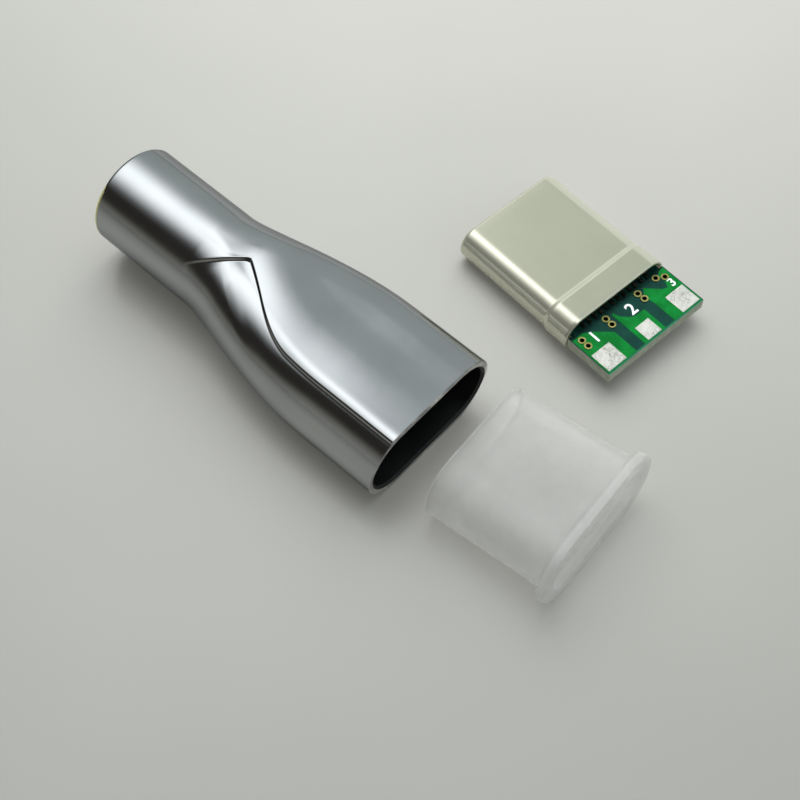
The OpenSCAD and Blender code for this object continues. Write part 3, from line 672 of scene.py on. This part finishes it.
def make_sleeve():
    """Frosted sleeve; its flange's rim is trimmed a little unevenly and keeps two points of flash."""
    trim_front, trim_back, flash_reach, flash_half_turns = 0.24, 0.2, 4.0, (0.7, 1.8)
    columns = oblong_columns(64, 72)
    share, angle = columns
    walk = share * 2.6 + angle
    order = np.arange(len(angle))
    flash = np.zeros(len(angle))
    for half_turns in flash_half_turns:
        away = abs(order - int(np.argmin(abs(angle + half_turns * math.pi))))
        flash = np.maximum(flash, np.exp(-np.minimum(away, len(order) - away) / flash_reach))
    turn = np.linspace(0, math.pi / 2, 7)
    rd, root = SLEEVE_ROUND, SLEEVE_LEN - FLANGE_T
    rings = []

    def tube(x, r, c=SLEEVE_C, ragged=0.0):
        ring = body_ring(x, c, r, columns)
        ripple = -ragged * (0.4 + 0.6 * (0.5 + 0.5 * wave(0.55 * walk, 1.1, 0.8)) ** 2) * (1 - flash)
        ring[:, 1] += np.sin(angle) * ripple
        ring[:, 2] += np.cos(angle) * ripple
        ring[:, 0] -= ragged * 0.5 * (1 + wave(0.35 * walk, 0.4, 2.2))
        rings.append(ring)

    def rim(x, a, trim):
        tube(x, FLANGE_R - rd + rd * math.sin(a), FLANGE_C, trim * math.sin(a))

    for a in turn[::-1]:
        tube(rd * (1 - math.sin(a)), SLEEVE_R - rd * (1 - math.cos(a)))
    for x in np.linspace(rd, root - SLEEVE_FILLET, 26)[1:]:
        tube(x, SLEEVE_R)
    for a in np.linspace(0, math.pi / 2, 5)[1:]:
        tube(root - SLEEVE_FILLET * (1 - math.sin(a)), SLEEVE_R + SLEEVE_FILLET * (1 - math.cos(a)))
    for a in turn:
        rim(root + rd * (1 - math.cos(a)), a, trim_front)
    for a in turn[::-1]:
        rim(SLEEVE_LEN - rd * (1 - math.cos(a)), a, trim_back)
    tube(SLEEVE_LEN, BORE_R + BORE_BREAK, PLUG_C)
    for x in (SLEEVE_LEN - BORE_BREAK, 6.0, 3.0, BORE_BREAK):
        tube(x, BORE_R, PLUG_C)
    tube(0.0, BORE_R + BORE_BREAK, PLUG_C)
    mesh = ring_mesh("sleeve_skin", rings)
    piece("frosted_sleeve", mesh, SLEEVE_PLACE, [FROST], ["insulating_sleeve"], sharp=55)


def make_pad(number, v, side):
    """One tinned pad: soft edges, and the uneven skin that hand tinning leaves."""
    n, edge_w = 34, 0.06
    u = BOARD_END - PAD_BACK - side
    t = np.linspace(-1, 1, n)
    grow = np.sign(t) * (1 - (1 - np.abs(t)) ** 1.6)
    a, b = np.meshgrid(grow * side / 2, grow * side / 2, indexing="ij")
    edge = np.minimum(unit((side / 2 - np.abs(a)) / edge_w), unit((side / 2 - np.abs(b)) / edge_w))
    skin = 0.45 + 0.3 * np.sqrt(edge) + 0.12 * wave(2.1 * a, 2.4 * b, number) * edge
    skin += 0.12 * wave(5.2 * a + number, 4.7 * b, 1.7 * number) * edge
    z = BOARD_T / 2 + PAD_T * np.minimum(skin, 1.0)
    z[0, :] = z[-1, :] = z[:, 0] = z[:, -1] = BOARD_T / 2
    points = np.stack([u + side / 2 + a, v + b, z], -1).reshape(-1, 3)
    cells = [i * n + j for i in range(n - 1) for j in range(n - 1)]
    faces = [(k, k + n, k + n + 1, k + 1) for k in cells]
    rim = [i * n for i in range(n)] + [(n - 1) * n + j for j in range(1, n)]
    rim += [i * n + n - 1 for i in range(n - 2, -1, -1)] + list(range(n - 2, 0, -1))
    faces.append(tuple(rim[::-1]))
    mesh = bpy.data.meshes.new("pad_%d_skin" % number)
    mesh.from_pydata(points.tolist(), [], faces)
    piece("tinned_pad_%d" % number, mesh, PLUG_PLACE, [TIN], ["solder_pad_%d" % number], sharp=70)


def make_zone(name, outline, holes=()):
    """Copper area under the mask: a thin raised sheet on the board's top, open round the plated holes."""
    loops = [outline]
    for x, y in holes:
        turns = [k * math.pi / 12 for k in range(24)]
        loops.append([(x + COPPER_OPEN_R * math.cos(t), y + COPPER_OPEN_R * math.sin(t)) for t in turns])
    made = bmesh.new()
    edges = []
    for loop in loops:
        corners = [made.verts.new((x, y, BOARD_T / 2 + COPPER_T)) for x, y in loop]
        edges += [made.edges.new((corners[i - 1], corners[i])) for i in range(len(corners))]
    bmesh.ops.triangle_fill(made, use_beauty=True, edges=edges, normal=(0, 0, 1))
    bmesh.ops.solidify(made, geom=made.faces[:], thickness=COPPER_T)
    mesh = bpy.data.meshes.new(name + "_sheet")
    made.to_mesh(mesh)
    made.free()
    piece(name, mesh, PLUG_PLACE, [ZONE], sharp=30)


def make_number(digit, u, v, tall):
    """A plain printed number beside a pad."""
    curve = bpy.data.curves.new("number_line", "FONT")
    curve.body = str(digit)
    curve.size = tall * TYPE_PER_HEIGHT
    curve.extrude = PRINT_HALF
    curve.offset = PRINT_BOLD
    curve.align_x, curve.align_y = "CENTER", "CENTER"
    stamp = bpy.data.objects.new("number_stamp", curve)
    bpy.context.scene.collection.objects.link(stamp)
    bpy.context.view_layer.update()
    mesh = bpy.data.meshes.new_from_object(stamp.evaluated_get(bpy.context.evaluated_depsgraph_get()))
    bpy.data.objects.remove(stamp)
    bpy.data.curves.remove(curve)
    lay = Matrix(((0, -1, 0, u), (1, 0, 0, v), (0, 0, 1, BOARD_T / 2 + PRINT_LIFT), (0, 0, 0, 1)))
    mesh.name = "number_%d_print" % digit
    piece("printed_number_%d" % digit, mesh, PLUG_PLACE @ lay, [PRINT], sharp=60)


make_housing()
make_shell()
make_sleeve()
make_pad(1, -PAD_Y, PAD_SIZE)
make_pad(2, 0.0, PAD_MID)
make_pad(3, PAD_Y, PAD_SIZE)
make_zone("copper_near", [(9.95, -4.04), (12.98, -4.04), (12.98, -1.66), (11.2, -1.66), (11.05, -1.78),
                          (10.45, -2.45), (10.2, -2.7), (9.95, -3.2)], NEAR_HOLES)
make_zone("copper_middle", [(10.15, -0.9), (12.97, -0.9), (12.97, 0.88), (11.2, 0.88), (11.15, 0.1),
                            (11.0, -0.2), (10.6, -0.6), (10.15, -0.75)])
make_zone("copper_far", [(11.25, 1.67), (12.98, 1.67), (12.98, 4.04), (11.0, 4.04), (11.0, 3.1), (10.9, 2.82),
                         (10.05, 1.98), (10.4, 1.68), (10.66, 1.68), (10.92, 1.62)])
make_zone("copper_corner", [(9.75, 4.04), (9.8, 3.68), (10.0, 3.32), (10.62, 3.34), (11.02, 3.16),
                            (11.02, 4.04)], CORNER_HOLES)
make_number(1, 10.64, -2.82, 0.86)
make_number(2, 10.68, 0.3, 0.86)
make_number(3, 10.92, 3.62, 0.62)

# Finishes of the solids that stay
SOLID_FINISH = {
    "front_insulator": BLACK, "upper_carrier": BLACK, "lower_carrier": BLACK, "latch_plate": STEEL,
    "upper_shield_spring": STEEL, "lower_shield_spring": STEEL, "circuit_board": SOLDER_MASK,
}
for name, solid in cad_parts.items():
    finish = SOLID_FINISH.get(name)
    if name.startswith("contact_"):
        finish = GOLD
    elif name.startswith("plated_hole_"):
        finish = RING_GOLD
    if finish:
        solid.data.materials.clear()
        solid.data.materials.append(finish)

# Table
TABLE_R, TABLE_SIDES = 2.5, 96
scene = bpy.context.scene
table_mesh = bpy.data.meshes.new("table_top")
table_turns = [2 * math.pi * k / TABLE_SIDES for k in range(TABLE_SIDES)]
table_edge = [(TABLE_R * math.cos(t), TABLE_R * math.sin(t), 0.0) for t in table_turns]
table_mesh.from_pydata(table_edge, [], [tuple(range(TABLE_SIDES))])
table_finish, table_tree, table_shader = finish_base("pale_table")
table_tone = drifting(table_tree, 30.0, (0.375, 0.371, 0.350), (0.388, 0.384, 0.362))
dress(table_tree, table_shader, Base_Color=table_tone, Specular_IOR_Level=0.4,
      Roughness=grained(table_tree, 1500.0, 0.2, 0.26)["Value"])
table_mesh.materials.append(table_finish)
table_top = bpy.data.objects.new("table_top", table_mesh)
scene.collection.objects.link(table_top)

# Room: grey far wall, dark near side that lightens towards the table, and a long soft light overhead.
# Its tones run over the turn round the housing's axis: 0 is overhead, and the far side is positive.
ROOM_TURN = 120
world = bpy.data.worlds.new("studio")
world.use_nodes = True
room = world.node_tree
room.nodes.clear()


def ramp(turn, stops):
    """Straight runs between tones that are given at turns in degrees."""
    limit = math.radians(ROOM_TURN)
    made = put(room, "ValToRGB", Fac=ranged(room, turn, -limit, limit))
    made.color_ramp.interpolation = "LINEAR"
    points = made.color_ramp.elements
    while len(points) < len(stops):
        points.new(0.5)
    for point, (degrees, tone) in zip(points, stops):
        point.position = (degrees + ROOM_TURN) / (2 * ROOM_TURN)
        point.color = (*tone, 1)
    return made.outputs["Color"]


def scaled(colour, share):
    return put(room, "VectorMath", {"operation": "SCALE"}, i0=colour, Scale=share).outputs[0]


part = put(room, "SeparateXYZ", i0=put(room, "TexCoord").outputs["Generated"]).outputs
swing = figure(room, "ARCTAN2", part["Y"], part["Z"])
# Away from the cable end the walls turn by ten degrees and the light overhead narrows
lean = ranged(room, part["X"], -0.49, -0.3)
walls = ramp(figure(room, "MULTIPLY_ADD", lean, math.radians(-10), swing), [
    (-105, (0.40, 0.40, 0.37)), (-98, (0.34, 0.34, 0.315)), (-90, (0.27, 0.27, 0.25)),
    (-82, (0.19, 0.19, 0.17)), (-76, (0.10, 0.098, 0.088)), (-70, (0.045, 0.042, 0.037)),
    (-60, (0.034, 0.031, 0.027)), (-38, (0.04, 0.039, 0.036)), (-24, (0.13, 0.14, 0.14)),
    (-6, (0.46, 0.50, 0.51)), (8, (0.48, 0.53, 0.54)), (95, (0.48, 0.53, 0.52)),
])
narrow = figure(room, "MULTIPLY_ADD", lean, -0.58, 1.0)
from_mid = figure(room, "SUBTRACT", swing, math.radians(3))
strip = ramp(figure(room, "DIVIDE", from_mid, narrow), [
    (-50, (0.0, 0.0, 0.0)), (-40, (0.08, 0.082, 0.084)), (-32, (0.28, 0.287, 0.291)),
    (-23, (0.55, 0.562, 0.568)), (-14, (0.78, 0.795, 0.802)), (-4, (0.91, 0.927, 0.935)),
    (5, (0.93, 0.95, 0.96)), (12, (0.86, 0.877, 0.885)), (21, (0.61, 0.623, 0.63)),
    (30, (0.34, 0.348, 0.352)), (40, (0.115, 0.118, 0.12)), (51, (0.025, 0.026, 0.026)),
    (64, (0.0, 0.0, 0.0)),
])
# The light overhead fades towards both ends, and the walls darken behind the cable end
fore = ranged(room, part["X"], -0.95, -0.52, soft=True)
aft = ranged(room, part["X"], 0.1, 0.55, 1.75, 0.0, soft=True)
end_wall = ranged(room, part["X"], -0.95, -0.72, 0.2, soft=True)
glow = put(room, "VectorMath", {"operation": "ADD"}, i0=scaled(walls, end_wall),
           i1=scaled(strip, figure(room, "MULTIPLY", fore, aft))).outputs[0]
seen = put(room, "LightPath").outputs["Is Camera Ray"]
sky = put(room, "Background", Color=mixed(room, seen, glow, (0.52, 0.53, 0.51, 1)))
room.links.new(sky.outputs[0], put(room, "OutputWorld").inputs["Surface"])
scene.world = world


def facing(spot, aim):
    """Turn of a lamp or a camera that stands at one point and looks at another."""
    return (Vector(aim) - Vector(spot)).to_track_quat("-Z", "Y").to_euler()


def soft_box(name, spot, aim, size, power, shadow=True):
    """A square lamp for the table and the matt pieces, which doesn't show in the metal."""
    lamp = bpy.data.lights.new(name, "AREA")
    lamp.shape, lamp.size, lamp.size_y = "RECTANGLE", size, size
    lamp.energy, lamp.color, lamp.use_shadow = power, (1.0, 1.0, 0.98), shadow
    made = bpy.data.objects.new(name, lamp)
    made.location, made.rotation_euler = spot, facing(spot, aim)
    made.visible_glossy = False
    scene.collection.objects.link(made)


soft_box("far_light", (-0.035, 0.04, 0.075), (-0.01, 0.01, 0), 0.1, 0.078)
soft_box("far_fill", (-0.025, 0.07, 0.07), (0.005, 0.03, 0), 0.09, 0.055, shadow=False)

# Camera at the photograph's angle
CAMERA_SPOT, CAMERA_AIM = (0.03193, -0.03838, 0.07246), (0.00299, -0.00592, 0)
lens = bpy.data.cameras.new("camera")
lens.sensor_width, lens.lens = 36.0, 63.54
lens.clip_start, lens.clip_end = 0.005, 20.0
camera = bpy.data.objects.new("camera", lens)
camera.location, camera.rotation_euler = CAMERA_SPOT, facing(CAMERA_SPOT, CAMERA_AIM)
scene.collection.objects.link(camera)
scene.camera = camera
scene.view_settings.view_transform = "Standard"
